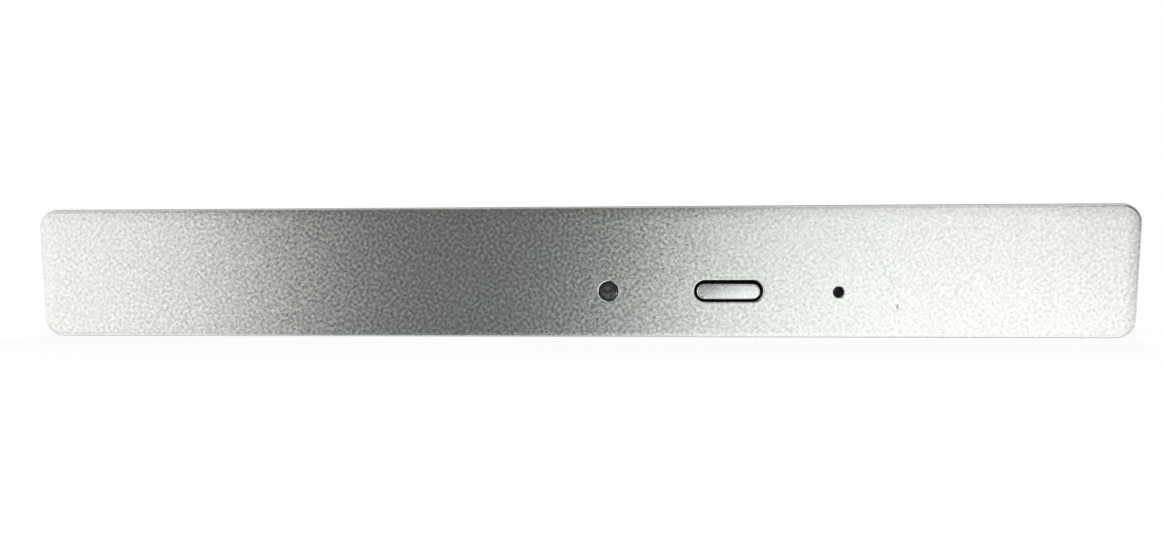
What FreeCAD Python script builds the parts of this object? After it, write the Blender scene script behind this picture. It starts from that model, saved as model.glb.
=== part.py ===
"""Front bezel of a tray-loading slim optical drive, in millimetres.

Three moulded pieces: the faceplate with its rim, ribs and clips, the eject button with its spring
arm, and the light pipe of the activity lamp. +X is to the right seen from the front, +Y runs from
the face back to the tray, +Z is up. The origin is the middle of the seat on the tray.
"""

import FreeCAD, Part
import os

import Sketcher

OUT_FOLDER = "parts"
TOUCH = 1e-4

# Every driving size: alias, number, what it is
SIZES = [
    ("face_width_top", 132.0, "face between its sharp top corners"),
    ("face_width_bottom", 130.5, "face between its sharp bottom corners"),
    ("face_height", 15.6, "face from bottom edge to top edge"),
    ("top_corner_round", 2.2, "outline radius of both top corners"),
    ("bottom_corner_round", 2.25, "outline radius of both bottom corners"),
    ("edge_round", 0.5, "radius where the face turns into the rim"),
    ("plate_thickness", 1.6, "wall behind the face"),
    ("rim_depth", 5.2, "front of the face to the seat on the tray"),
    ("rim_wall", 1.2, "wall of the rim"),
    ("inner_corner_round", 0.6, "corner radius inside the rim"),
    ("feature_height", 5.5, "lens and button above the bottom edge"),
    ("release_height", 5.36, "release hole above the bottom edge"),
    ("opening_edge_round", 0.16, "radius round the front of the lens hole and the button opening"),
    ("lens_from_middle", 4.52, "lens axis to the right of the middle"),
    ("button_from_middle", 18.7, "button centre to the right of the middle"),
    ("release_from_middle", 31.53, "release hole to the right of the middle"),
    ("lens_hole_diameter", 2.33, "hole in the face for the light pipe"),
    ("lens_barrel_clearance", 0.05, "light pipe to its hole, all round"),
    ("lens_recess", 0.08, "front of the lens behind the face"),
    ("lens_edge_round", 0.2, "radius round the front of the lens"),
    ("lens_flange_diameter", 3.8, "flange that stops the light pipe"),
    ("lens_flange_thickness", 0.9, "flange along the axis"),
    ("lens_socket_clearance", 0.03, "flange to its socket, all round"),
    ("lens_socket_wall", 0.8, "ring wall round the flange"),
    ("lens_socket_height", 1.5, "ring above the back of the plate"),
    ("lens_stem_diameter", 2.5, "stem at the flange"),
    ("lens_tip_diameter", 2.1, "stem at its end by the lamp"),
    ("lens_setback", 0.5, "end of the stem in front of the seat"),
    ("release_hole_diameter", 1.3, "hole for a straightened paper clip"),
    ("release_lead_in", 0.1, "bevel that guides the paper clip into its hole"),
    ("release_tube_wall", 0.9, "guide tube round the release hole"),
    ("release_tube_setback", 0.2, "end of the guide tube in front of the seat"),
    ("button_opening_length", 8.1, "opening in the face, end to end"),
    ("button_opening_height", 2.6, "opening in the face, across"),
    ("button_gap", 0.37, "button cap to its opening, above and below"),
    ("button_end_gap", 0.28, "button cap to its opening, at each end"),
    ("cap_drop", 0.07, "how low the cap hangs in its opening"),
    ("cap_recess", 0.08, "crown of the cap behind the face"),
    ("cap_crown_radius", 8.0, "curve of the cap from top to bottom"),
    ("cap_length_radius", 65.0, "curve of the cap from end to end"),
    ("cap_edge_round", 0.28, "radius round the front of the cap"),
    ("collar_wall", 0.9, "wall of the guide collar round the opening"),
    ("collar_height", 1.2, "collar and foot seat above the back of the plate"),
    ("carrier_overhang", 1.1, "plate behind the cap past the opening, all round"),
    ("carrier_thickness", 0.9, "plate behind the cap, and the foot"),
    ("running_clearance", 0.08, "button to its seats, front and back"),
    ("nub_diameter", 2.4, "boss that presses the switch"),
    ("nub_height", 0.7, "boss behind the carrier"),
    ("nub_bevel", 0.25, "bevel round the end of the boss"),
    ("moulding_round", 0.5, "corners of the carrier, the foot and its seat"),
    ("arm_height", 2.0, "spring arm from bottom to top"),
    ("arm_thickness", 0.7, "spring arm where it bends"),
    ("arm_root_round", 0.5, "radius where the arm meets its neck and foot"),
    ("neck_width", 2.6, "neck from the carrier up to the arm"),
    ("foot_from_button", 20.0, "middle of the foot to the button centre"),
    ("foot_width", 3.2, "foot along the arm"),
    ("foot_height", 6.4, "foot across the arm"),
    ("foot_top_gap", 1.15, "foot to the rim above it"),
    ("post_spacing", 3.6, "between the two staked posts"),
    ("post_diameter", 1.3, "post through the foot"),
    ("post_hole_clearance", 0.06, "post to its hole, all round"),
    ("post_head_diameter", 2.2, "melted head of a post"),
    ("post_head_height", 0.6, "melted head along the post"),
    ("post_head_bevel", 0.38, "bevel round the melted head"),
    ("rib_thickness", 0.9, "stiffening ribs"),
    ("rib_height", 2.6, "ribs above the back of the plate"),
    ("left_rib_first", -58.0, "rib nearest the left end"),
    ("left_rib_pitch", 10.0, "between ribs of the left field"),
    ("left_rib_count", 6, "ribs in the left field"),
    ("right_rib_first", 44.0, "rib nearest the button in the right field"),
    ("right_rib_pitch", 12.0, "between ribs of the right field"),
    ("right_rib_count", 2, "ribs in the right field"),
    ("ejector_mark_diameter", 3.0, "round marks left by the mould's ejector pins"),
    ("ejector_mark_depth", 0.12, "depth of an ejector mark"),
    ("tray_lip", 3.4, "tray wall that the clips reach over"),
    ("barb_length", 2.2, "slope of a clip's barb"),
    ("barb_height", 0.8, "catch of a clip's barb"),
    ("barb_nose", 0.2, "step left at the tip of a barb"),
    ("end_clip_gap", 0.8, "end clip to the rim beside it"),
    ("end_clip_thickness", 1.1, "tongue of an end clip"),
    ("end_clip_height", 5.0, "end clip from bottom to top"),
    ("end_clip_rise", 1.0, "middle of an end clip above mid height"),
    ("bottom_clip_gap", 0.5, "bottom clip to the rim below it"),
    ("bottom_clip_thickness", 1.1, "tongue of a bottom clip"),
    ("bottom_clip_width", 6.0, "bottom clip along the bezel"),
    ("bottom_clip_first", -33.0, "middle of the left bottom clip"),
    ("bottom_clip_spacing", 83.0, "between the two bottom clips"),
    ("clip_root_round", 0.4, "radius where a clip leaves the plate"),
    ("notch_margin", 0.7, "release notch past the clip, each side"),
    ("notch_depth", 2.0, "release notch in front of the seat"),
]

# Places that several features share, as expressions of the sizes above
HALF_HEIGHT = "Sizes.face_height / 2"
FRONT = "-Sizes.rim_depth"
PLATE_BACK = "(Sizes.plate_thickness - Sizes.rim_depth)"
FEATURE_Z = "(Sizes.feature_height - Sizes.face_height / 2)"
RELEASE_Z = "(Sizes.release_height - Sizes.face_height / 2)"
CAP_Z = f"({FEATURE_Z} - Sizes.cap_drop)"
COLLAR_BACK = f"({PLATE_BACK} + Sizes.collar_height)"
CARRIER_FRONT = f"({COLLAR_BACK} + Sizes.running_clearance)"
CARRIER_BACK = f"({CARRIER_FRONT} + Sizes.carrier_thickness)"
ARM_Z = f"({HALF_HEIGHT} - Sizes.rim_wall - Sizes.foot_top_gap - Sizes.foot_height / 2)"
FOOT_X = "(Sizes.button_from_middle + Sizes.foot_from_button)"
FOOT_BLOCK = (FOOT_X, ARM_Z, "Sizes.foot_width", "Sizes.foot_height")
END_SLOPE = f"((Sizes.face_width_top - Sizes.face_width_bottom) / 2 / Sizes.face_height)"
WALL_ACROSS = f"(Sizes.rim_wall * sqrt(1 + {END_SLOPE} ^ 2))"


def make_sheet(doc):
    """Spreadsheet with one row for each driving size."""
    sheet = doc.addObject("Spreadsheet::Sheet", "Sizes")
    for row, (alias, number, note) in enumerate(SIZES, start=1):
        sheet.set(f"A{row}", alias)
        sheet.set(f"B{row}", str(number))
        sheet.set(f"C{row}", note)
        sheet.setAlias(f"B{row}", alias)
    doc.recompute()
    return sheet


def new_body(doc, label):
    """Empty body whose label names its file."""
    body = doc.addObject("PartDesign::Body", label)
    body.Label = label
    return body


def origin_feature(body, role):
    """One of the body's own origin planes or axes."""
    return next(f for f in body.Origin.OriginFeatures if f.Role == role)


def sketch_at(body, name, role, place):
    """Empty sketch on an origin plane that is moved to a place along the third axis."""
    sketch = body.newObject("Sketcher::SketchObject", name)
    sketch.AttachmentSupport = (origin_feature(body, role), [""])
    sketch.MapMode = "FlatFace"
    normal_is_minus_y = role == "XZ_Plane"
    sketch.setExpression("AttachmentOffset.Base.z", f"-({place})" if normal_is_minus_y else place)
    return sketch


def bind(sketch, constraint, tag, expression):
    """Adds a constraint and drives it by an expression."""
    index = sketch.addConstraint(constraint)
    sketch.renameConstraint(index, tag)
    sketch.setExpression(f"Constraints.{tag}", expression)


def fix_point(sketch, geometry, end, across, up):
    """Ties one point of a sketch to its two distances from the sketch's origin."""
    for axis, expression in (("X", across), ("Y", up)):
        number = float(sketch.evalExpression(expression))
        distance = Sketcher.Constraint(f"Distance{axis}", -1, 1, geometry, end, number)
        bind(sketch, distance, f"g{geometry}_{end}_{axis}", expression)


def at(sketch, across, up):
    """Point of the sketch plane where two expressions put it."""
    return FreeCAD.Vector(float(sketch.evalExpression(across)), float(sketch.evalExpression(up)), 0)


def draw_polygon(sketch, corners):
    """Closed outline through corners, each a pair of expressions."""
    first = sketch.GeometryCount
    count = len(corners)
    points = [at(sketch, *corner) for corner in corners]
    for i, point in enumerate(points):
        sketch.addGeometry(Part.LineSegment(point, points[(i + 1) % count]), False)
    for i in range(count):
        following = first + (i + 1) % count
        sketch.addConstraint(Sketcher.Constraint("Coincident", first + i, 2, following, 1))
    for i, corner in enumerate(corners):
        fix_point(sketch, first + i, 1, *corner)


def draw_rectangle(sketch, left, right, bottom, top):
    """Upright rectangle between four expressions."""
    draw_polygon(sketch, [(left, bottom), (right, bottom), (right, top), (left, top)])


def draw_block(sketch, across, up, width, height):
    """Upright rectangle round a centre."""
    draw_rectangle(
        sketch,
        f"{across} - ({width}) / 2",
        f"{across} + ({width}) / 2",
        f"{up} - ({height}) / 2",
        f"{up} + ({height}) / 2",
    )


def draw_circle(sketch, across, up, diameter):
    """Circle round a centre."""
    index = sketch.GeometryCount
    radius = float(sketch.evalExpression(diameter)) / 2
    axis = FreeCAD.Vector(0, 0, 1)
    sketch.addGeometry(Part.Circle(at(sketch, across, up), axis, radius), False)
    fix_point(sketch, index, 3, across, up)
    bind(sketch, Sketcher.Constraint("Diameter", index, 2 * radius), f"g{index}_diameter", diameter)


def draw_pill(sketch, across, up, length, height):
    """Slot outline with full round ends."""
    first = sketch.GeometryCount
    right, top, left, bottom = range(first, first + 4)
    reach = f"(({length}) - ({height})) / 2"
    middles = {right: f"{across} + {reach}", left: f"{across} - {reach}"}
    radius = float(sketch.evalExpression(height)) / 2
    axis = FreeCAD.Vector(0, 0, 1)
    quarter = 1.5707963267948966
    rise = FreeCAD.Vector(0, radius, 0)
    centre = {arc: at(sketch, middle, up) for arc, middle in middles.items()}
    circle = {arc: Part.Circle(centre[arc], axis, radius) for arc in middles}
    sketch.addGeometry(Part.ArcOfCircle(circle[right], -quarter, quarter), False)
    sketch.addGeometry(Part.LineSegment(centre[right] + rise, centre[left] + rise), False)
    sketch.addGeometry(Part.ArcOfCircle(circle[left], quarter, 3 * quarter), False)
    sketch.addGeometry(Part.LineSegment(centre[left] - rise, centre[right] - rise), False)
    for geometry, following in ((right, top), (top, left), (left, bottom), (bottom, right)):
        sketch.addConstraint(Sketcher.Constraint("Tangent", geometry, 2, following, 1))
    for arc, middle in middles.items():
        fix_point(sketch, arc, 3, middle, up)
    sketch.addConstraint(Sketcher.Constraint("Equal", right, left))
    bind(sketch, Sketcher.Constraint("Radius", right, radius), f"g{right}_radius", f"({height}) / 2")


def set_tip(body, feature, grows):
    """Makes a feature the body's tip once it has added material, or cut some."""
    before = body.Shape.Volume if body.Shape.Solids else 0.0
    body.Tip = feature
    body.Document.recompute()
    change = feature.Shape.Volume - before
    if (change > 0) != grows or abs(change) < TOUCH:
        raise RuntimeError(f"{feature.Label} changed the volume of {body.Label} by {change:.4f} mm3")
    return feature


def pad(body, sketch, length, to_back=False, symmetric=False):
    """Extrudes a sketch along its normal, or against it where the normal points to the front."""
    feature = body.newObject("PartDesign::Pad", f"{sketch.Name}_pad")
    feature.Profile = sketch
    feature.SideType = "Symmetric" if symmetric else "One side"
    feature.Reversed = to_back
    feature.Refine = True
    feature.setExpression("Length", length)
    return set_tip(body, feature, grows=True)


def pocket(body, sketch, length, to_front=False, symmetric=False):
    """Cuts a sketch into the body, towards the back unless it is asked to go to the front."""
    feature = body.newObject("PartDesign::Pocket", f"{sketch.Name}_cut")
    feature.Profile = sketch
    feature.SideType = "Symmetric" if symmetric else "One side"
    feature.Reversed = to_front
    feature.Refine = True
    feature.setExpression("Length", length)
    return set_tip(body, feature, grows=False)


def soften(body, kind, name, amount, wanted, grows):
    """Breaks the edges of the body that a test picks out, by a feature of some kind."""
    base = body.Tip
    edges = [f"Edge{i}" for i, edge in enumerate(base.Shape.Edges, start=1) if wanted(edge)]
    if not edges:
        raise RuntimeError(f"{name} found no edges on {body.Label}")
    feature = body.newObject(f"PartDesign::{kind}", name)
    feature.Base = (base, edges)
    feature.setExpression({"Fillet": "Radius", "Chamfer": "Size"}[kind], amount)
    return set_tip(body, feature, grows)


def fillet(body, name, radius, wanted, grows=False):
    """Rounds the edges of the body that a test picks out."""
    return soften(body, "Fillet", name, radius, wanted, grows)


def bevel(body, name, size, wanted):
    """Bevels the edges of the body that a test picks out."""
    return soften(body, "Chamfer", name, size, wanted, grows=False)


def row_along_x(body, name, features, spacing, count):
    """Repeats features along the bezel."""
    pattern = body.newObject("PartDesign::LinearPattern", name)
    pattern.Originals = features
    pattern.Direction = (origin_feature(body, "X_Axis"), [""])
    pattern.setExpression("Length", f"({spacing}) * ({count} - 1)")
    pattern.setExpression("Occurrences", count)
    return pattern


def spans(edge, axis, low, high):
    """True if an edge keeps between two values along one axis."""
    box = edge.BoundBox
    ends = {"x": (box.XMin, box.XMax), "y": (box.YMin, box.YMax), "z": (box.ZMin, box.ZMax)}[axis]
    return ends[0] >= low - TOUCH and ends[1] <= high + TOUCH


def runs_along_y(edge):
    """True for a straight edge from front to back."""
    box = edge.BoundBox
    return box.YLength > TOUCH and box.XLength < TOUCH and box.ZLength < TOUCH


def block_corners(sketch, across, up, width, height):
    """Corner places of an upright block, as numbers."""
    middle = at(sketch, across, up)
    reach = at(sketch, f"({width}) / 2", f"({height}) / 2")
    return [(middle.x + i * reach.x, middle.y + j * reach.y) for i in (-1, 1) for j in (-1, 1)]


def on_corner(edge, corners):
    """True for an edge from front to back that stands on one of some corners (x, z)."""
    return runs_along_y(edge) and any(spans(edge, "x", x, x) and spans(edge, "z", z, z) for x, z in corners)


def round_corners(body, name, corners):
    """Rounds the upright corners of a block as the mould does."""
    return fillet(body, name, "Sizes.moulding_round", lambda e: on_corner(e, corners))


def make_shell(body, size):
    """Face and rim: the outline as a block, rounded, then hollowed from the back."""
    top, bottom = "Sizes.face_width_top / 2", "Sizes.face_width_bottom / 2"
    outline = sketch_at(body, "outline", "XZ_Plane", "0")
    draw_polygon(
        outline,
        [
            (f"-{bottom}", f"-{HALF_HEIGHT}"),
            (bottom, f"-{HALF_HEIGHT}"),
            (top, HALF_HEIGHT),
            (f"-{top}", HALF_HEIGHT),
        ],
    )
    pad(body, outline, "Sizes.rim_depth")
    half = size("face_height") / 2
    fillet(
        body,
        "top_corners",
        "Sizes.top_corner_round",
        lambda e: runs_along_y(e) and spans(e, "z", half, half),
    )
    fillet(
        body,
        "bottom_corners",
        "Sizes.bottom_corner_round",
        lambda e: runs_along_y(e) and spans(e, "z", -half, -half),
    )
    front = -size("rim_depth")
    fillet(body, "face_edge", "Sizes.edge_round", lambda e: spans(e, "y", front, front))

    inner_top = f"({top} - {END_SLOPE} * Sizes.rim_wall - {WALL_ACROSS})"
    inner_bottom = f"({bottom} + {END_SLOPE} * Sizes.rim_wall - {WALL_ACROSS})"
    inner_half = f"({HALF_HEIGHT} - Sizes.rim_wall)"
    hollow = sketch_at(body, "hollow", "XZ_Plane", "0")
    draw_polygon(
        hollow,
        [
            (f"-{inner_bottom}", f"-{inner_half}"),
            (inner_bottom, f"-{inner_half}"),
            (inner_top, inner_half),
            (f"-{inner_top}", inner_half),
        ],
    )
    pocket(body, hollow, f"-{PLATE_BACK}", to_front=True)
    inside = half - size("rim_wall")
    fillet(
        body,
        "inner_corners",
        "Sizes.inner_corner_round",
        lambda e: runs_along_y(e) and (spans(e, "z", inside, inside) or spans(e, "z", -inside, -inside)),
        grows=True,
    )


def make_openings(body, size):
    """Lens hole, button opening and release hole, through the plate with broken front edges."""
    openings = sketch_at(body, "openings", "XZ_Plane", FRONT)
    draw_circle(openings, "Sizes.lens_from_middle", FEATURE_Z, "Sizes.lens_hole_diameter")
    draw_pill(
        openings,
        "Sizes.button_from_middle",
        FEATURE_Z,
        "Sizes.button_opening_length",
        "Sizes.button_opening_height",
    )
    draw_circle(openings, "Sizes.release_from_middle", RELEASE_Z, "Sizes.release_hole_diameter")
    pocket(body, openings, "Sizes.plate_thickness")
    front = -size("rim_depth")
    lens_left = size("lens_from_middle") - size("lens_hole_diameter")
    button_right = size("button_from_middle") + size("button_opening_length")
    fillet(
        body,
        "opening_edges",
        "Sizes.opening_edge_round",
        lambda e: spans(e, "y", front, front) and spans(e, "x", lens_left, button_right),
    )
    middle, reach = size("release_from_middle"), size("release_hole_diameter") / 2
    bevel(
        body,
        "release_lead_in",
        "Sizes.release_lead_in",
        lambda e: spans(e, "y", front, front) and spans(e, "x", middle - reach, middle + reach),
    )


def make_bosses(body):
    """Lens socket, release guide tube and button collar on the back of the plate."""
    socket = sketch_at(body, "lens_socket", "XZ_Plane", PLATE_BACK)
    bore = "Sizes.lens_flange_diameter + 2 * Sizes.lens_socket_clearance"
    draw_circle(socket, "Sizes.lens_from_middle", FEATURE_Z, f"{bore} + 2 * Sizes.lens_socket_wall")
    draw_circle(socket, "Sizes.lens_from_middle", FEATURE_Z, bore)
    pad(body, socket, "Sizes.lens_socket_height", to_back=True)

    tube = sketch_at(body, "release_tube", "XZ_Plane", PLATE_BACK)
    bore = "Sizes.release_hole_diameter"
    draw_circle(tube, "Sizes.release_from_middle", RELEASE_Z, f"{bore} + 2 * Sizes.release_tube_wall")
    draw_circle(tube, "Sizes.release_from_middle", RELEASE_Z, bore)
    pad(body, tube, f"-{PLATE_BACK} - Sizes.release_tube_setback", to_back=True)

    collar = sketch_at(body, "button_collar", "XZ_Plane", PLATE_BACK)
    length, height = "Sizes.button_opening_length", "Sizes.button_opening_height"
    wall = "2 * Sizes.collar_wall"
    draw_pill(collar, "Sizes.button_from_middle", FEATURE_Z, f"{length} + {wall}", f"{height} + {wall}")
    draw_pill(collar, "Sizes.button_from_middle", FEATURE_Z, length, height)
    pad(body, collar, "Sizes.collar_height", to_back=True)


def post_places():
    """Centres of the two staked posts."""
    return [(FOOT_X, f"{ARM_Z} {sign} Sizes.post_spacing / 2") for sign in "-+"]


def make_foot_seat(body, size):
    """Raised seat for the button's foot, with two posts whose melted heads hold it down."""
    seat = sketch_at(body, "foot_seat", "XZ_Plane", PLATE_BACK)
    draw_block(seat, *FOOT_BLOCK)
    pad(body, seat, "Sizes.collar_height", to_back=True)
    round_corners(body, "foot_seat_corners", block_corners(seat, *FOOT_BLOCK))

    head_front = f"({CARRIER_BACK} + Sizes.running_clearance)"
    posts = sketch_at(body, "posts", "XZ_Plane", COLLAR_BACK)
    heads = sketch_at(body, "post_heads", "XZ_Plane", head_front)
    for across, up in post_places():
        draw_circle(posts, across, up, "Sizes.post_diameter")
        draw_circle(heads, across, up, "Sizes.post_head_diameter")
    pad(body, posts, f"{head_front} - {COLLAR_BACK}", to_back=True)
    pad(body, heads, "Sizes.post_head_height", to_back=True)
    head_back = float(heads.evalExpression(f"{head_front} + Sizes.post_head_height"))
    foot_x = float(heads.evalExpression(FOOT_X))
    reach = size("post_head_diameter") / 2
    bevel(
        body,
        "post_head_bevels",
        "Sizes.post_head_bevel",
        lambda e: spans(e, "y", head_back, head_back) and spans(e, "x", foot_x - reach, foot_x + reach),
    )


def make_ribs(body):
    """Upright ribs from wall to wall in two fields, each tied together by a spine."""
    for side in ("left", "right"):
        first, pitch, count = (f"Sizes.{side}_rib_{word}" for word in ("first", "pitch", "count"))
        rib = sketch_at(body, f"{side}_rib", "XZ_Plane", PLATE_BACK)
        draw_block(rib, first, "0", "Sizes.rib_thickness", "Sizes.face_height - Sizes.rim_wall")
        upright = pad(body, rib, "Sizes.rib_height", to_back=True)
        set_tip(body, row_along_x(body, f"{side}_ribs", [upright], pitch, count), grows=True)
        spine = sketch_at(body, f"{side}_spine", "XZ_Plane", PLATE_BACK)
        length = f"{pitch} * ({count} - 1)"
        draw_block(spine, f"{first} + {length} / 2", "0", length, "Sizes.rib_thickness")
        pad(body, spine, "Sizes.rib_height", to_back=True)


def make_ejector_marks(body):
    """Shallow round marks in the upper cells of the left field, and in the one upper cell on the right."""
    up = "(Sizes.face_height / 2 - Sizes.rim_wall) / 2"
    for side in ("left", "right"):
        first, pitch, count = (f"Sizes.{side}_rib_{word}" for word in ("first", "pitch", "count"))
        mark = sketch_at(body, f"{side}_mark", "XZ_Plane", PLATE_BACK)
        draw_circle(mark, f"{first} + {pitch} / 2", up, "Sizes.ejector_mark_diameter")
        cut = pocket(body, mark, "Sizes.ejector_mark_depth", to_front=True)
        if side == "left":
            set_tip(body, row_along_x(body, "left_marks", [cut], pitch, f"({count} - 1)"), grows=False)


def barb_outline(foot, back, towards):
    """Side view of a clip as pairs (along, across): a tongue with a barb past the tray's wall."""
    catch = "Sizes.tray_lip"
    tip = f"({catch} + Sizes.barb_length)"
    return [
        (PLATE_BACK, back),
        (PLATE_BACK, foot),
        (catch, foot),
        (catch, f"{foot} {towards} Sizes.barb_height"),
        (tip, f"{foot} {towards} Sizes.barb_nose"),
        (tip, back),
    ]


def make_clips(body, size):
    """Two end clips that face each other, and two bottom clips with notches to release them."""
    outer = (
        "((Sizes.face_width_top + Sizes.face_width_bottom) / 4 - Sizes.rim_wall - Sizes.end_clip_gap)"
    )
    inner = f"({outer} - Sizes.end_clip_thickness)"
    end_clip = sketch_at(body, "end_clip", "XY_Plane", "Sizes.end_clip_rise")
    draw_polygon(end_clip, [(across, along) for along, across in barb_outline(inner, outer, "-")])
    right = pad(body, end_clip, "Sizes.end_clip_height", symmetric=True)
    mirror = body.newObject("PartDesign::Mirrored", "end_clips")
    mirror.Originals = [right]
    mirror.MirrorPlane = (origin_feature(body, "YZ_Plane"), [""])
    set_tip(body, mirror, grows=True)

    below = f"(Sizes.rim_wall + Sizes.bottom_clip_gap - {HALF_HEIGHT})"
    above = f"({below} + Sizes.bottom_clip_thickness)"
    bottom_clip = sketch_at(body, "bottom_clip", "YZ_Plane", "Sizes.bottom_clip_first")
    draw_polygon(bottom_clip, barb_outline(above, below, "+"))
    left = pad(body, bottom_clip, "Sizes.bottom_clip_width", symmetric=True)
    set_tip(body, row_along_x(body, "bottom_clips", [left], "Sizes.bottom_clip_spacing", "2"), grows=True)

    notch = sketch_at(body, "release_notch", "XZ_Plane", "0")
    width = "Sizes.bottom_clip_width + 2 * Sizes.notch_margin"
    draw_block(notch, "Sizes.bottom_clip_first", f"-{HALF_HEIGHT}", width, "2 * Sizes.rim_wall")
    cut = pocket(body, notch, "Sizes.notch_depth", to_front=True)
    set_tip(body, row_along_x(body, "release_notches", [cut], "Sizes.bottom_clip_spacing", "2"), grows=False)

    back = size("rim_depth") - size("plate_thickness")
    inner_x = float(end_clip.evalExpression(inner))
    above_z = float(bottom_clip.evalExpression(above))
    fillet(
        body,
        "clip_roots",
        "Sizes.clip_root_round",
        lambda e: spans(e, "y", -back, -back)
        and (
            spans(e, "x", inner_x, inner_x)
            or spans(e, "x", -inner_x, -inner_x)
            or spans(e, "z", above_z, above_z)
        ),
        grows=True,
    )


def make_faceplate(doc, size):
    """The painted moulding: face, rim, openings and everything that stands on its back."""
    body = new_body(doc, "faceplate")
    make_shell(body, size)
    make_openings(body, size)
    make_bosses(body)
    make_foot_seat(body, size)
    make_ribs(body)
    make_ejector_marks(body)
    make_clips(body, size)
    return body


def draw_crown(sketch, front, middle, radius, reach):
    """Waste in front of a crowned face, seen along the bezel: a box that ends in an arc."""
    first = sketch.GeometryCount
    waste, over, curve, under = range(first, first + 4)
    ahead = f"({front} - {reach})"
    low, high = f"({middle} - {reach})", f"({middle} + {reach})"
    axis_y = f"({front} + {radius})"
    chord = f"({axis_y} - sqrt(({radius}) ^ 2 - ({reach}) ^ 2))"
    corners = [at(sketch, *place) for place in ((ahead, low), (ahead, high), (chord, high), (chord, low))]
    arc = Part.Arc(corners[2], at(sketch, front, middle), corners[3])
    sketch.addGeometry(Part.LineSegment(corners[0], corners[1]), False)
    sketch.addGeometry(Part.LineSegment(corners[1], corners[2]), False)
    sketch.addGeometry(arc, False)
    sketch.addGeometry(Part.LineSegment(corners[3], corners[0]), False)
    # The arc is stored anticlockwise, so its second end is the lower one
    sketch.addConstraint(Sketcher.Constraint("Coincident", waste, 2, over, 1))
    sketch.addConstraint(Sketcher.Constraint("Coincident", over, 2, curve, 1))
    sketch.addConstraint(Sketcher.Constraint("Coincident", curve, 2, under, 1))
    sketch.addConstraint(Sketcher.Constraint("Coincident", under, 2, waste, 1))
    sketch.addConstraint(Sketcher.Constraint("Horizontal", over))
    sketch.addConstraint(Sketcher.Constraint("Horizontal", under))
    fix_point(sketch, waste, 1, ahead, low)
    fix_point(sketch, waste, 2, ahead, high)
    fix_point(sketch, curve, 3, axis_y, middle)
    number = float(sketch.evalExpression(radius))
    bind(sketch, Sketcher.Constraint("Radius", curve, number), f"g{curve}_radius", radius)


def draw_upright_axis(sketch, across, low, high):
    """Construction line to turn a profile round."""
    index = sketch.GeometryCount
    sketch.addGeometry(Part.LineSegment(at(sketch, across, low), at(sketch, across, high)), True)
    fix_point(sketch, index, 1, across, low)
    fix_point(sketch, index, 2, across, high)


def turned_cut(body, sketch, angle):
    """Cuts a profile turned both ways round the construction line of its sketch."""
    feature = body.newObject("PartDesign::Groove", f"{sketch.Name}_cut")
    feature.Profile = sketch
    feature.ReferenceAxis = (sketch, ["Axis0"])
    feature.Midplane = True
    feature.Refine = True
    feature.setExpression("Angle", angle)
    return set_tip(body, feature, grows=False)


def make_cap(body):
    """Pill cap, crowned both ways and rounded, that stands in the opening of the face."""
    front = f"({FRONT} + Sizes.cap_recess)"
    length = "(Sizes.button_opening_length - 2 * Sizes.button_end_gap)"
    height = "(Sizes.button_opening_height - 2 * Sizes.button_gap)"
    cap = sketch_at(body, "cap", "XZ_Plane", CARRIER_FRONT)
    draw_pill(cap, "Sizes.button_from_middle", CAP_Z, length, height)
    pad(body, cap, f"{CARRIER_FRONT} - {front}")

    crown = sketch_at(body, "cap_crown", "YZ_Plane", "Sizes.button_from_middle")
    crown_radius, bow_radius = "Sizes.cap_crown_radius", "Sizes.cap_length_radius"
    reach = "(Sizes.button_opening_height / 2)"
    draw_crown(crown, front, CAP_Z, crown_radius, reach)
    low, high = f"({CAP_Z} - {reach})", f"({CAP_Z} + {reach})"
    draw_upright_axis(crown, f"({front} + {bow_radius})", low, high)
    turned_cut(body, crown, f"2 * asin(Sizes.button_opening_length / 2 / {bow_radius})")

    front_y = float(crown.evalExpression(front))
    crown_drop = f"{crown_radius} - sqrt({crown_radius} ^ 2 - ({height} / 2) ^ 2)"
    bow_drop = f"{bow_radius} - sqrt({bow_radius} ^ 2 - ({length} / 2) ^ 2)"
    side_y = front_y + float(crown.evalExpression(crown_drop)) + float(crown.evalExpression(bow_drop))
    fillet(body, "cap_edge", "Sizes.cap_edge_round", lambda e: spans(e, "y", front_y, side_y))


def make_carrier(body):
    """Plate behind the cap that stops it at the collar, and the boss that presses the switch."""
    width = "(Sizes.button_opening_length + 2 * Sizes.carrier_overhang)"
    height = "(Sizes.button_opening_height + 2 * Sizes.carrier_overhang)"
    block = ("Sizes.button_from_middle", FEATURE_Z, width, height)
    carrier = sketch_at(body, "carrier", "XZ_Plane", CARRIER_FRONT)
    draw_block(carrier, *block)
    pad(body, carrier, "Sizes.carrier_thickness", to_back=True)
    neck = sketch_at(body, "neck", "XZ_Plane", CARRIER_FRONT)
    right = f"(Sizes.button_from_middle + {width} / 2)"
    left = f"({right} - Sizes.neck_width)"
    draw_rectangle(neck, left, right, FEATURE_Z, f"{ARM_Z} + Sizes.arm_height / 2")
    pad(body, neck, "Sizes.carrier_thickness", to_back=True)
    round_corners(body, "carrier_corners", block_corners(carrier, *block))

    nub = sketch_at(body, "switch_nub", "XZ_Plane", CARRIER_BACK)
    draw_circle(nub, "Sizes.button_from_middle", FEATURE_Z, "Sizes.nub_diameter")
    pad(body, nub, "Sizes.nub_height", to_back=True)
    nub_back = float(nub.evalExpression(f"{CARRIER_BACK} + Sizes.nub_height"))
    bevel(body, "nub_edge", "Sizes.nub_bevel", lambda e: spans(e, "y", nub_back, nub_back))
    return left, right


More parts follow.
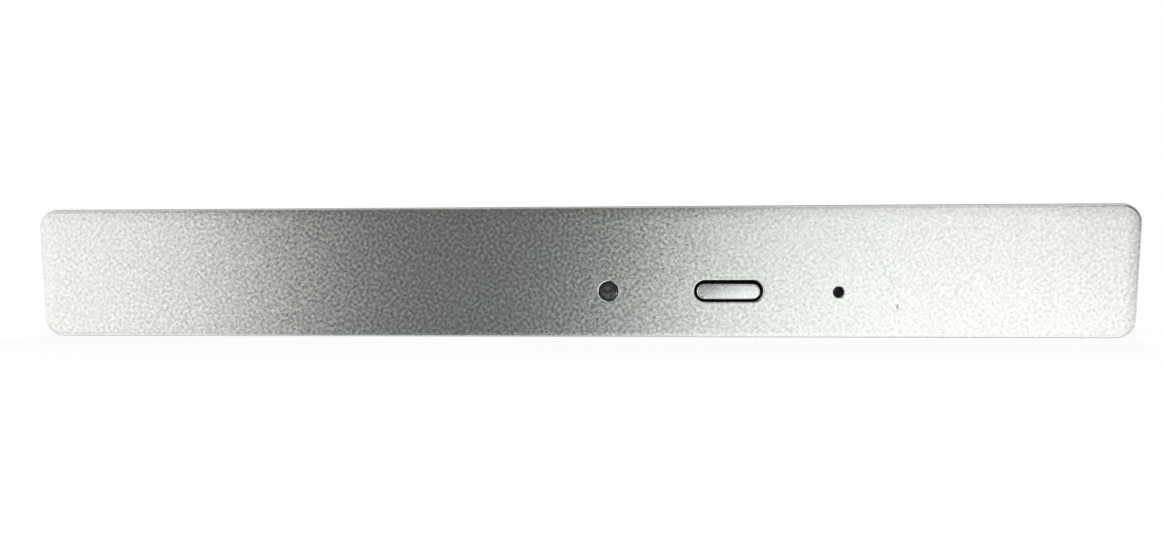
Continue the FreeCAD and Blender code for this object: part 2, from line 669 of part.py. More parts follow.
def make_spring(body, neck_left, neck_right):
    """Thin arm from the neck to the foot, and the foot with holes for the two posts."""
    arm = sketch_at(body, "arm", "XZ_Plane", CARRIER_FRONT)
    low, high = f"({ARM_Z} - Sizes.arm_height / 2)", f"({ARM_Z} + Sizes.arm_height / 2)"
    draw_rectangle(arm, neck_left, FOOT_X, low, high)
    pad(body, arm, "Sizes.arm_thickness", to_back=True)

    foot = sketch_at(body, "foot", "XZ_Plane", CARRIER_FRONT)
    draw_block(foot, *FOOT_BLOCK)
    pad(body, foot, "Sizes.carrier_thickness", to_back=True)
    holes = sketch_at(body, "post_holes", "XZ_Plane", CARRIER_FRONT)
    for across, up in post_places():
        draw_circle(holes, across, up, "Sizes.post_diameter + 2 * Sizes.post_hole_clearance")
    pocket(body, holes, "Sizes.carrier_thickness")
    round_corners(body, "foot_corners", block_corners(foot, *FOOT_BLOCK))

    low_z, high_z = (float(arm.evalExpression(place)) for place in (low, high))
    neck_x = float(arm.evalExpression(neck_right))
    foot_x = float(arm.evalExpression(f"{FOOT_X} - Sizes.foot_width / 2"))
    corners = ((neck_x, low_z), (foot_x, low_z), (foot_x, high_z))
    fillet(
        body,
        "arm_roots",
        "Sizes.arm_root_round",
        lambda e: on_corner(e, corners),
        grows=True,
    )


def make_button(doc):
    """The moulded button: cap, carrier, spring arm and foot in one piece."""
    body = new_body(doc, "eject_button")
    make_cap(body)
    make_spring(body, *make_carrier(body))
    return body


def make_light_pipe(doc):
    """Round lens in the face with a flange behind the plate and a stem back to the lamp."""
    body = new_body(doc, "light_pipe")
    profile = sketch_at(body, "profile", "XY_Plane", FEATURE_Z)
    profile.setExpression("AttachmentOffset.Base.x", "Sizes.lens_from_middle")
    front = f"({FRONT} + Sizes.lens_recess)"
    flange_front = f"({PLATE_BACK} + Sizes.lens_socket_clearance)"
    flange_back = f"({flange_front} + Sizes.lens_flange_thickness)"
    barrel = "(Sizes.lens_hole_diameter / 2 - Sizes.lens_barrel_clearance)"
    draw_polygon(
        profile,
        [
            ("0", front),
            (barrel, front),
            (barrel, flange_front),
            ("Sizes.lens_flange_diameter / 2", flange_front),
            ("Sizes.lens_flange_diameter / 2", flange_back),
            ("Sizes.lens_stem_diameter / 2", flange_back),
            ("Sizes.lens_tip_diameter / 2", "-Sizes.lens_setback"),
            ("0", "-Sizes.lens_setback"),
        ],
    )
    turned = body.newObject("PartDesign::Revolution", "turned")
    turned.Profile = profile
    turned.ReferenceAxis = (profile, ["V_Axis"])
    turned.Angle = 360.0
    set_tip(body, turned, grows=True)
    front_y = float(profile.evalExpression(front))
    fillet(body, "lens_edge", "Sizes.lens_edge_round", lambda e: spans(e, "y", front_y, front_y))
    return body


def make_document():
    """Builds every piece in a new document."""
    doc = FreeCAD.newDocument("optical_drive_bezel")
    sheet = make_sheet(doc)

    def size(alias):
        return float(sheet.get(alias))

    return doc, [make_faceplate(doc, size), make_button(doc), make_light_pipe(doc)]


def check(doc, bodies):
    """Stops before anything is written if an object failed or a piece isn't one sound solid."""
    failed = [o.Label for o in doc.Objects if {"Invalid", "Error"} & set(o.State)]
    if failed:
        raise RuntimeError(f"these objects failed: {failed}")
    for body in bodies:
        shape = body.Shape
        if shape.isNull() or not shape.isValid() or len(shape.Solids) != 1:
            raise RuntimeError(f"{body.Label} isn't one valid solid")


def write(bodies):
    """Writes each piece to a file with its own name."""
    os.makedirs(OUT_FOLDER, exist_ok=True)
    for body in bodies:
        body.Shape.exportStep(os.path.join(OUT_FOLDER, f"{body.Label}.step"))
        print(f"{body.Label}: {body.Shape.Volume:.1f} mm3, {len(body.Shape.Faces)} faces")


document, pieces = make_document()
check(document, pieces)
write(pieces)
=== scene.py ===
"""Looks of a slim optical drive bezel: its finishes, its studio and the camera.

Everything is in metres in the CAD's own frame: +X to the right seen from the front, +Y from the face
back to the tray, +Z up, with the origin in the middle of the seat on the tray.
"""

import logging
import math
from dataclasses import dataclass, field
from enum import Enum
from typing import Any, Union

import bpy
from mathutils import Euler, Matrix, Vector

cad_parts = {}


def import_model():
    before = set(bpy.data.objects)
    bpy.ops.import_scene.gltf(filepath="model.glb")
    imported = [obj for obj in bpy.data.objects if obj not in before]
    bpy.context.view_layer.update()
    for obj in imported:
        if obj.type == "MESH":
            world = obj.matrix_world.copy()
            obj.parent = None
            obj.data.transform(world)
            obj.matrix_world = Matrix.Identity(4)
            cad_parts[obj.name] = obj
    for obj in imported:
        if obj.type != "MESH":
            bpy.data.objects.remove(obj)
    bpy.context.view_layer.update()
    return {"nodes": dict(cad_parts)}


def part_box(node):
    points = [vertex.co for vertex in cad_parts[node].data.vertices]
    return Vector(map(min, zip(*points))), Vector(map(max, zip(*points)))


LOG = logging.getLogger("bezel")
MM = 0.001

Socket = bpy.types.NodeSocket
Value = Union[Socket, float]
Colour = tuple[float, float, float]
Point = tuple[float, float, float]
Span = tuple[float, float]

WHITE: Colour = (1.0, 1.0, 1.0)
MIDDLE: Point = (0.5, 0.5, 0.5)
MIX_SLOTS = {"FLOAT": 0, "VECTOR": 1, "RGBA": 2}


class Piece(Enum):
    """CAD nodes of the bezel."""

    FACEPLATE = "faceplate"
    EJECT_BUTTON = "eject_button"
    LIGHT_PIPE = "light_pipe"


class Edge(Enum):
    """Edges of the face: how far each one looks up, and how far to the right."""

    TOP = (1.0, 0.0)
    BOTTOM = (-1.0, 0.0)
    RIGHT = (0.0, 1.0)
    LEFT = (0.0, -1.0)


class NodeBook:
    """Writes nodes into one node tree, so that a finish reads as arithmetic.

    Args:
        tree: node tree of a material or a world; its old nodes are cleared.
    """

    def __init__(self, tree: bpy.types.NodeTree) -> None:
        tree.nodes.clear()
        self.tree = tree

    def add(self, kind: str, **settings: Any) -> bpy.types.Node:
        """Adds a node.

        Args:
            kind: type name of the node, without its ShaderNode prefix.
            settings: properties of the node to set.

        Returns:
            The new node.
        """
        node = self.tree.nodes.new(f"ShaderNode{kind}")
        for name, value in settings.items():
            setattr(node, name, value)
        return node

    def feed(self, socket: Socket, value: Any) -> None:
        """Links a socket to an output, or sets it to a constant.

        Args:
            socket: input to feed.
            value: output socket, number or vector.
        """
        if isinstance(value, bpy.types.NodeSocket):
            self.tree.links.new(value, socket)
        else:
            socket.default_value = value

    def math(self, operation: str, *values: Value) -> Socket:
        """Works out a number.

        Args:
            operation: name of the Math node's operation.
            values: its operands, up to three.

        Returns:
            The result's socket.
        """
        node = self.add("Math", operation=operation)
        for socket, value in zip(node.inputs, values):
            self.feed(socket, value)
        return node.outputs[0]

    def vector(self, operation: str, *values: Any) -> Socket:
        """Works out a vector.

        Args:
            operation: name of the Vector Math node's operation.
            values: its operands; for SCALE a vector and a number.

        Returns:
            The result's socket.
        """
        node = self.add("VectorMath", operation=operation)
        if operation == "SCALE":
            self.feed(node.inputs[0], values[0])
            self.feed(node.inputs["Scale"], values[1])
        else:
            for socket, value in zip(node.inputs, values):
                self.feed(socket, value)
        return node.outputs[0]

    def reading(self, operation: str, *values: Any) -> Socket:
        """Reads a number off vectors.

        Args:
            operation: LENGTH or DOT_PRODUCT.
            values: the vectors, one or two.

        Returns:
            The number's socket.
        """
        node = self.add("VectorMath", operation=operation)
        for socket, value in zip(node.inputs, values):
            self.feed(socket, value)
        return node.outputs["Value"]

    def ease(self, value: Value, turn: Span, start: Value = 0.0, end: Value = 1.0) -> Socket:
        """Turns a number smoothly from one level to another.

        Args:
            value: number to read.
            turn: where the turn starts and where it ends.
            start: level before the turn.
            end: level after it.

        Returns:
            The level's socket.
        """
        node = self.add("MapRange", interpolation_type="SMOOTHSTEP")
        for name, number in (
            ("Value", value),
            ("From Min", turn[0]),
            ("From Max", turn[1]),
            ("To Min", start),
            ("To Max", end),
        ):
            self.feed(node.inputs[name], number)
        return node.outputs["Result"]

    def between(self, value: Value, rising: Span, falling: Span) -> Socket:
        """Shows a number's middle range alone.

        Args:
            value: number to read.
            rising: where the level turns from 0 to 1 as the number goes up.
            falling: where it turns from 0 to 1 as the number comes down.

        Returns:
            Socket of the level.
        """
        return self.math("MULTIPLY", self.ease(value, rising), self.ease(value, falling))

    def vary(self, value: Value, contrast: float) -> Socket:
        """Turns a number from 0 to 1 into a factor around 1.

        Args:
            value: number to read.
            contrast: how far apart the least and the greatest factor are.

        Returns:
            The factor's socket.
        """
        return self.math("MULTIPLY_ADD", value, contrast, 1.0 - contrast / 2)

    def mix(self, share: Value, first: Any, second: Any, kind: str = "FLOAT") -> Socket:
        """Mixes two numbers, colours or vectors.

        Args:
            share: how much of the second shows.
            first: what shows at 0.
            second: what shows at 1.
            kind: FLOAT, RGBA or VECTOR.

        Returns:
            The mixture's socket.
        """
        node = self.add("Mix", data_type=kind)
        slot = MIX_SLOTS[kind]
        factor = [s for s in node.inputs if s.name == "Factor"][0]
        firsts = [s for s in node.inputs if s.name == "A"]
        seconds = [s for s in node.inputs if s.name == "B"]
        results = [s for s in node.outputs if s.name == "Result"]
        self.feed(factor, share)
        self.feed(firsts[slot], first)
        self.feed(seconds[slot], second)
        return results[slot]

    def noise(self, place: Socket, grain: float, detail: float = 2.0) -> Socket:
        """Soft noise of a given size.

        Args:
            place: coordinates to read it at.
            grain: size of its blobs in metres.
            detail: octaves of finer noise on top.

        Returns:
            Socket of a number around 0.5.
        """
        return self._noise_node(place, grain, detail).outputs["Fac"]

    def fine_noise(self, place: Socket, grain: float) -> Socket:
        """Noise of one size alone, without the broad swells that a spot shares with the spots beside it.

        Args:
            place: coordinates to read it at.
            grain: size of its blobs in metres.

        Returns:
            Socket of a vector around zero, whose three numbers vary on their own.
        """
        step = grain / 2
        steps = ((step, 0.0, 0.0), (-step, 0.0, 0.0), (0.0, 0.0, step), (0.0, 0.0, -step))
        around = None
        for beside in steps:
            spot = self._noise_node(self.vector("ADD", place, beside), grain).outputs["Color"]
            around = spot if around is None else self.vector("ADD", around, spot)
        middle = self._noise_node(place, grain).outputs["Color"]
        return self.vector("SUBTRACT", middle, self.vector("SCALE", around, 1.0 / len(steps)))

    def _noise_node(self, place: Socket, grain: float, detail: float = 0.0) -> bpy.types.Node:
        """Adds the noise texture itself.

        Args:
            place: coordinates to read it at.
            grain: size of its blobs in metres.
            detail: octaves of finer noise on top.

        Returns:
            The new node.
        """
        node = self.add("TexNoise", noise_dimensions="3D")
        self.feed(node.inputs["Vector"], place)
        node.inputs["Scale"].default_value = 1.0 / grain
        node.inputs["Detail"].default_value = detail
        return node

    def in_sight(self, path: bpy.types.Node) -> Socket:
        """Tells the rays of the camera, straight or through a clear piece, from the others.

        Args:
            path: Light Path node.

        Returns:
            Socket of 1 for such a ray and 0 for any other.
        """
        return self.math("MAXIMUM", path.outputs["Is Camera Ray"], path.outputs["Is Transmission Ray"])

    def show(self, target: str, shader: Socket) -> None:
        """Ends the tree in an output.

        Args:
            target: Material or World.
            shader: what the output shows.
        """
        out = self.add(f"Output{target}")
        self.feed(out.inputs["Surface"], shader)


def rgba(colour: Colour) -> tuple[float, float, float, float]:
    """Gives a colour its alpha.

    Args:
        colour: red, green and blue.

    Returns:
        The colour with full alpha.
    """
    return (*colour, 1.0)


def new_finish(name: str) -> tuple[bpy.types.Material, NodeBook]:
    """Makes an empty material.

    Args:
        name: its name.

    Returns:
        The material and the book of its nodes.
    """
    finish = bpy.data.materials.new(name)
    finish.use_nodes = True
    return finish, NodeBook(finish.node_tree)


@dataclass(frozen=True)
class SilverPaint:
    """Sprayed metallic paint: bright flakes that each lie a little askew, in a film that ripples."""

    colour: Colour
    roughness: float = 0.23
    roughness_spread: float = 0.03
    flake_size: float = 0.17 * MM
    flake_tilt: float = 0.02
    flake_contrast: float = 0.25
    ripple_size: float = 0.475 * MM
    ripple_tilt: float = 0.048
    ripple_contrast: float = 0.31
    ripple_roughness: float = 0.35
    film_offset: Point = (0.0, 7 * MM, 0.0)
    cloud_size: float = 9 * MM
    cloud_contrast: float = 0.03


@dataclass(frozen=True)
class BareMoulding:
    """Charcoal moulded plastic with the fine texture of a spark-eroded mould."""

    colour: Colour = (0.030, 0.031, 0.033)
    roughness: float = 0.52
    specular: float = 0.35
    grain_size: float = 0.12 * MM
    grain_detail: float = 3.0
    grain_height: float = 0.012 * MM


@dataclass(frozen=True)
class DirtSpeck:
    """Small fleck of dirt on the paint."""

    across: float = 38.23 * MM
    up: float = -4.16 * MM
    width: float = 0.34 * MM
    height: float = 0.62 * MM
    fade: Span = (1.5, 0.3)
    colour: Colour = (0.42, 0.44, 0.40)


@dataclass(frozen=True)
class SmokeLens:
    """Smoke-tinted light pipe, cloudy from specks moulded into it, with painted light on it: a painted
    shade around its rim, its lower right side painted lighter, and a painted highlight at the right of
    the rim.
    """

    dark: Colour = (0.008, 0.0085, 0.0085)
    pale: Colour = (0.08, 0.082, 0.08)
    # painted shade: a darker ring around the lens's rim, broken up by noise, stands in for the shade of
    # the gap around the lens
    rim: Colour = (0.008, 0.008, 0.008)
    rim_shade_start: float = 0.72
    rim_shade_breaks: float = 0.6 * MM
    rim_shade_break_range: Span = (0.35, 0.6)
    rim_shade_break_level: float = 0.35
    roughness: float = 0.3
    refraction: float = 1.49
    grit_size: float = 0.45 * MM
    grit_detail: float = 3.0
    grit_range: Span = (0.4, 0.66)
    # painted light: the lens's lower right side is painted lighter, as if lit from there
    painted_light_side: Point = (0.6, 0.0, -0.8)
    painted_light_pull: float = 0.06
    # painted highlight: a pale spot at the right of the lens's rim, a little low
    painted_highlight: Colour = (0.3, 0.3, 0.29)
    highlight_place: Point = (0.86, 0.0, -0.26)
    highlight_size: float = 0.17
    highlight_core: float = 0.3

    def material(self, name: str, axis: Point, radius: float) -> bpy.types.Material:
        """Makes the material.

        Args:
            name: its name.
            axis: a point on the lens's axis, which runs along Y.
            radius: radius of the lens.

        Returns:
            The new material.
        """
        finish, book = new_finish(name)
        place = book.add("TexCoord").outputs["Object"]
        shader = book.add("BsdfPrincipled")
        per_radius = (1.0 / radius, 0.0, 1.0 / radius)
        apart = book.vector("MULTIPLY", book.vector("SUBTRACT", place, axis), per_radius)
        painted_light_towards = book.reading("DOT_PRODUCT", apart, self.painted_light_side)
        grit_and_painted_light = book.noise(place, self.grit_size, self.grit_detail)
        # painted light: the cloudiness is pulled up to pale on the lower right side, on top of the
        # moulded-in specks
        grit_and_painted_light = book.math("MULTIPLY_ADD", painted_light_towards, self.painted_light_pull, grit_and_painted_light)
        colour = book.mix(book.ease(grit_and_painted_light, self.grit_range), rgba(self.dark), rgba(self.pale), "RGBA")
        # painted shade: darkens a ring near the lens's rim
        in_rim_shade = book.ease(book.reading("LENGTH", apart), (self.rim_shade_start, 1.0))
        shade_breaks = book.noise(place, self.rim_shade_breaks)
        rim_shade_whole = book.ease(shade_breaks, self.rim_shade_break_range, self.rim_shade_break_level)
        colour = book.mix(book.math("MULTIPLY", in_rim_shade, rim_shade_whole), colour, rgba(self.rim), "RGBA")
        # painted highlight: lays the pale spot near the rim
        from_highlight = book.reading("LENGTH", book.vector("SUBTRACT", apart, self.highlight_place))
        in_highlight = book.ease(from_highlight, (self.highlight_size, self.highlight_core * self.highlight_size))
        book.feed(shader.inputs["Base Color"], book.mix(in_highlight, colour, rgba(self.painted_highlight), "RGBA"))
        shader.inputs["Roughness"].default_value = self.roughness
        shader.inputs["IOR"].default_value = self.refraction
        book.show("Material", shader.outputs["BSDF"])
        return finish


@dataclass(frozen=True)
class PaintedMoulding:
    """A moulding that is sprayed from the front: paint where it reaches, bare plastic behind.

    Args:
        paint: finish of the sprayed faces.
        plastic: finish of the rest.
        speck: fleck of dirt on the paint, or None.
    """

    paint: SilverPaint
    plastic: BareMoulding = BareMoulding()
    speck: Union[DirtSpeck, None] = None

    def material(self, name: str, reach: "SprayReach") -> bpy.types.Material:
        """Makes the material.

        Args:
            name: its name.
            reach: where the spray gets to.

        Returns:
            The new material.
        """
        finish, book = new_finish(name)
        place = book.add("TexCoord").outputs["Object"]
        cover = reach.cover(book, place)
        shader = book.add("BsdfPrincipled")
        paint_colour, flake_normal, flake_roughness = self._flakes(book, place)
        colour = book.mix(cover, rgba(self.plastic.colour), paint_colour, "RGBA")
        book.feed(shader.inputs["Base Color"], colour)
        book.feed(shader.inputs["Metallic"], cover)
        shader.inputs["Specular IOR Level"].default_value = self.plastic.specular
        roughness = book.mix(cover, self.plastic.roughness, flake_roughness)
        book.feed(shader.inputs["Roughness"], roughness)
        film_normal = reach.settle(book, place, flake_normal)
        normal = book.mix(cover, self._texture(book, place), film_normal, "VECTOR")
        book.feed(shader.inputs["Normal"], book.vector("NORMALIZE", normal))
        book.show("Material", shader.outputs["BSDF"])
        return finish

    def _flakes(self, book: NodeBook, place: Socket) -> tuple[Socket, Socket, Socket]:
        """Colour, normal and roughness of the paint, which differ from flake to flake.

        Args:
            book: nodes of the material.
            place: object coordinates.

        Returns:
            Sockets of the colour, the normal and the roughness.
        """
        paint = self.paint
        cells = book.add("TexVoronoi", voronoi_dimensions="3D", feature="F1")
        book.feed(cells.inputs["Vector"], place)
        cells.inputs["Scale"].default_value = 1.0 / paint.flake_size
        lean = book.vector("SUBTRACT", cells.outputs["Color"], MIDDLE)
        lean = book.vector("SCALE", lean, 2.0 * paint.flake_tilt)
        ripple = book.fine_noise(place, paint.ripple_size)
        lean = book.vector("ADD", lean, book.vector("SCALE", ripple, 2.0 * paint.ripple_tilt))
        normal = book.vector("ADD", book.add("NewGeometry").outputs["Normal"], lean)
        draw = book.add("SeparateXYZ")
        book.feed(draw.inputs[0], cells.outputs["Color"])
        bright = book.vary(draw.outputs["Y"], paint.flake_contrast)
        second_draw = book.add("TexWhiteNoise", noise_dimensions="3D")
        book.feed(second_draw.inputs["Vector"], cells.outputs["Position"])
        spread = second_draw.outputs["Value"]
        roughness = book.math("MULTIPLY_ADD", spread, paint.roughness_spread, paint.roughness)
        film = book.add("SeparateXYZ")
        shifted = book.vector("ADD", place, paint.film_offset)
        book.feed(film.inputs[0], book.fine_noise(shifted, paint.ripple_size))
        roughness = book.math("MULTIPLY_ADD", film.outputs["X"], paint.ripple_roughness, roughness)
        cloud = book.vary(book.noise(place, paint.cloud_size), paint.cloud_contrast)
        thickness = book.math("MULTIPLY_ADD", film.outputs["Y"], paint.ripple_contrast, 1.0)
        level = book.math("MULTIPLY", book.math("MULTIPLY", bright, thickness), cloud)
        colour = book.vector("SCALE", paint.colour, level)
        if self.speck:
            colour = self._dirt(book, place, colour)
        return colour, normal, roughness

    def _dirt(self, book: NodeBook, place: Socket, colour: Socket) -> Socket:
        """Lays the fleck of dirt over the paint's colour.

        Args:
            book: nodes of the material.
            place: object coordinates.
            colour: colour of the clean paint.

        Returns:
            Socket of the colour with the fleck on it.
        """
        speck = self.speck
        apart = book.vector("SUBTRACT", place, (speck.across, 0.0, speck.up))
        scaled = book.vector("MULTIPLY", apart, (2.0 / speck.width, 0.0, 2.0 / speck.height))
        shows = book.ease(book.reading("LENGTH", scaled), speck.fade)
        return book.mix(shows, colour, rgba(speck.colour), "RGBA")

    def _texture(self, book: NodeBook, place: Socket) -> Socket:
        """Normal of the bare plastic.

        Args:
            book: nodes of the material.
            place: object coordinates.

        Returns:
            Socket of the normal.
        """
        bump = book.add("Bump")
        bump.inputs["Strength"].default_value = 1.0
        bump.inputs["Distance"].default_value = self.plastic.grain_height
        grain = book.noise(place, self.plastic.grain_size, self.plastic.grain_detail)
        book.feed(bump.inputs["Height"], grain)
        return bump.outputs["Normal"]


@dataclass
class SprayReach:
    """Where the spray gets to on a piece: its front, and the outside of its rim if it has one.

    Args:
        front: Y of the piece's front.
        depth: how far behind the front the spray still covers.
        fade: distance over which it thins out to nothing.
        mist_size: size of the blotches at its border.
        mist: how far the blotches move that border.
    """

    front: float
    depth: float = 0.12 * MM
    fade: float = 0.4 * MM
    mist_size: float = 0.2 * MM
    mist: float = 0.25 * MM

    def cover(self, book: NodeBook, place: Socket) -> Socket:
        """Share of the surface that is painted.

        Args:
            book: nodes of the material.
            place: object coordinates.

        Returns:
            Socket of a number from 0, bare, to 1, covered.
        """
        axes = book.add("SeparateXYZ")
        book.feed(axes.inputs[0], place)
        behind = book.math("ADD", axes.outputs["Y"], self._drift(book, place))
        border = self.front + self.depth
        return book.ease(behind, (border + self.fade, border))

    def settle(self, book: NodeBook, place: Socket, normal: Socket) -> Socket:
        """Normal of the film once it has settled, which is as it was sprayed.

        Args:
            book: nodes of the material.
            place: object coordinates.
            normal: normal of the film as it was sprayed.

        Returns:
            Socket of the same normal.
        """
        return normal

    def _drift(self, book: NodeBook, place: Socket) -> Socket:
        """How far the mist moves the spray's border at a spot.

        Args:
            book: nodes of the material.
            place: object coordinates.

        Returns:
            Socket of the distance, around zero.
        """
        return book.math("MULTIPLY_ADD", book.noise(place, self.mist_size), self.mist, -self.mist / 2)


@dataclass
class RimReach(SprayReach):
    """Spray on a face and all the way down the outside of its rim.

    Args:
        half_height: half the face's height.
        half_width: half the face's width at mid height.
        end_slope: how much the half width grows with height.
        wall: thickness of the rim.
        wall_fade: where the spray thins out over the rim's back, as shares of the wall.
        film_edge: how far in from the edges the film draws back as it dries.
        film_lean: how far it leans there, as a share of a unit normal.
    """

    half_height: float = 0.0
    half_width: float = 0.0
    end_slope: float = 0.0
    wall: float = 1.2 * MM
    wall_fade: Span = (0.75, 0.25)
    film_edge: float = 2.0 * MM
    film_lean: float = 0.075

    def cover(self, book: NodeBook, place: Socket) -> Socket:
        """Share of the surface that is painted, with the rim's outside counted in.

        Args:
            book: nodes of the material.
            place: object coordinates.

        Returns:
            Socket of a number from 0, bare, to 1, covered.
        """
        on_face = super().cover(book, place)
        inwards = self._from_edge(book, place, Edge.TOP)
        for edge in (Edge.BOTTOM, Edge.RIGHT, Edge.LEFT):
            inwards = book.math("MINIMUM", inwards, self._from_edge(book, place, edge))
        inwards = book.math("ADD", inwards, self._drift(book, place))
        inner, outer = self.wall_fade
        on_rim = book.ease(inwards, (inner * self.wall, outer * self.wall))
        return book.math("MAXIMUM", on_face, on_rim)

    def settle(self, book: NodeBook, place: Socket, normal: Socket) -> Socket:
        """Normal of the film, which leans outwards along the top and the ends and is level at the bottom.

        Args:
            book: nodes of the material.
            place: object coordinates.
            normal: normal of the film as it was sprayed.

        Returns:
            Socket of the leaning normal.
        """
        for edge in (Edge.TOP, Edge.RIGHT, Edge.LEFT):
            up, across = edge.value
            inwards = self._from_edge(book, place, edge)
            near = book.ease(inwards, (self.film_edge, 0.0), 0.0, self.film_lean)
            normal = book.vector("ADD", normal, book.vector("SCALE", (across, 0.0, up), near))
        return normal

    def _from_edge(self, book: NodeBook, place: Socket, edge: Edge) -> Socket:
        """Distance inwards from one edge of the face.

        Args:
            book: nodes of the material.
            place: object coordinates.
            edge: edge to measure from.

        Returns:
            Socket of the distance.
        """
        up, across = edge.value
        outwards = (across, 0.0, up - self.end_slope * abs(across))
        limit = self.half_height * abs(up) + self.half_width * abs(across)
        return book.math("SUBTRACT", limit, book.reading("DOT_PRODUCT", place, outwards))


@dataclass
class Faceplate:
    """The painted moulding: face, rim and all that stands on its back."""

    node: bpy.types.Object
    end_slope: float = 0.048
    paint: SilverPaint = SilverPaint(colour=(0.92, 0.935, 0.89))

    def dress(self) -> None:
        """Gives the moulding its paint and bare plastic."""
        low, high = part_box(Piece.FACEPLATE.value)
        half_height = high.z
        reach = RimReach(
            front=low.y,
            half_height=half_height,
            half_width=high.x - self.end_slope * half_height,
            end_slope=self.end_slope,
        )
        finish = PaintedMoulding(self.paint, speck=DirtSpeck())
        dress(self.node, finish.material("silver_paint_on_moulding", reach))


@dataclass
class EjectButton:
    """The button: a crowned painted cap on a bare carrier, arm and foot."""

    node: bpy.types.Object
    # the paint stops short of the cap's rounded edge, so that edge shows dark bare plastic: partly
    # thinner spray there, partly painted shade of the gap around the cap
    paint_and_edge_shade_depth: float = 0.16 * MM
    fade: float = 0.1 * MM
    mist: float = 0.05 * MM
    paint: SilverPaint = SilverPaint(
        colour=(0.975, 0.965, 0.96),
        roughness=0.27,
        flake_size=0.12 * MM,
        ripple_tilt=0.029,
        ripple_contrast=0.14,
        ripple_roughness=0.11,
    )

    def dress(self) -> None:
        """Gives the cap its paint and leaves the rest bare; the paint stops short on the cap's rounded
        edge, which shows dark bare plastic, partly thinner spray and partly painted shade of the gap
        around the cap.
        """
        low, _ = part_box(Piece.EJECT_BUTTON.value)
        reach = SprayReach(front=low.y, depth=self.paint_and_edge_shade_depth, fade=self.fade, mist=self.mist)
        finish = PaintedMoulding(self.paint)
        dress(self.node, finish.material("silver_paint_on_button", reach))


@dataclass
class LightPipe:
    """The lamp's smoke-tinted lens with its flange and stem."""

    node: bpy.types.Object
    lens: SmokeLens = SmokeLens()
    radius: float = 1.115 * MM

    def dress(self) -> None:
        """Gives the light pipe its tint, with a painted shade around the rim, a painted lighter side and
        a painted highlight.
        """
        low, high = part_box(Piece.LIGHT_PIPE.value)
        axis = tuple((low + high) / 2)
        dress(self.node, self.lens.material("smoke_lens_with_painted_light", axis, self.radius))


def dress(node: bpy.types.Object, finish: bpy.types.Material) -> None:
    """Puts one material on all of a piece.

    Args:
        node: piece to dress.
        finish: its material.
    """
    for slot in node.material_slots:
        slot.material = finish


@dataclass
class Softbox:
    """Soft lamp that looks at the bezel."""

    name: str
    place: Point
    size: float
    power: float

    def build(self) -> None:
        """Adds the lamp."""
        lamp = bpy.data.lights.new(self.name, "AREA")
        lamp.shape = "DISK"
        lamp.size = self.size
        lamp.energy = self.power
        holder = bpy.data.objects.new(self.name, lamp)
        holder.location = self.place
        holder.rotation_euler = (-Vector(self.place)).to_track_quat("-Z", "Y").to_euler()
        holder.visible_glossy = False
        bpy.context.scene.collection.objects.link(holder)


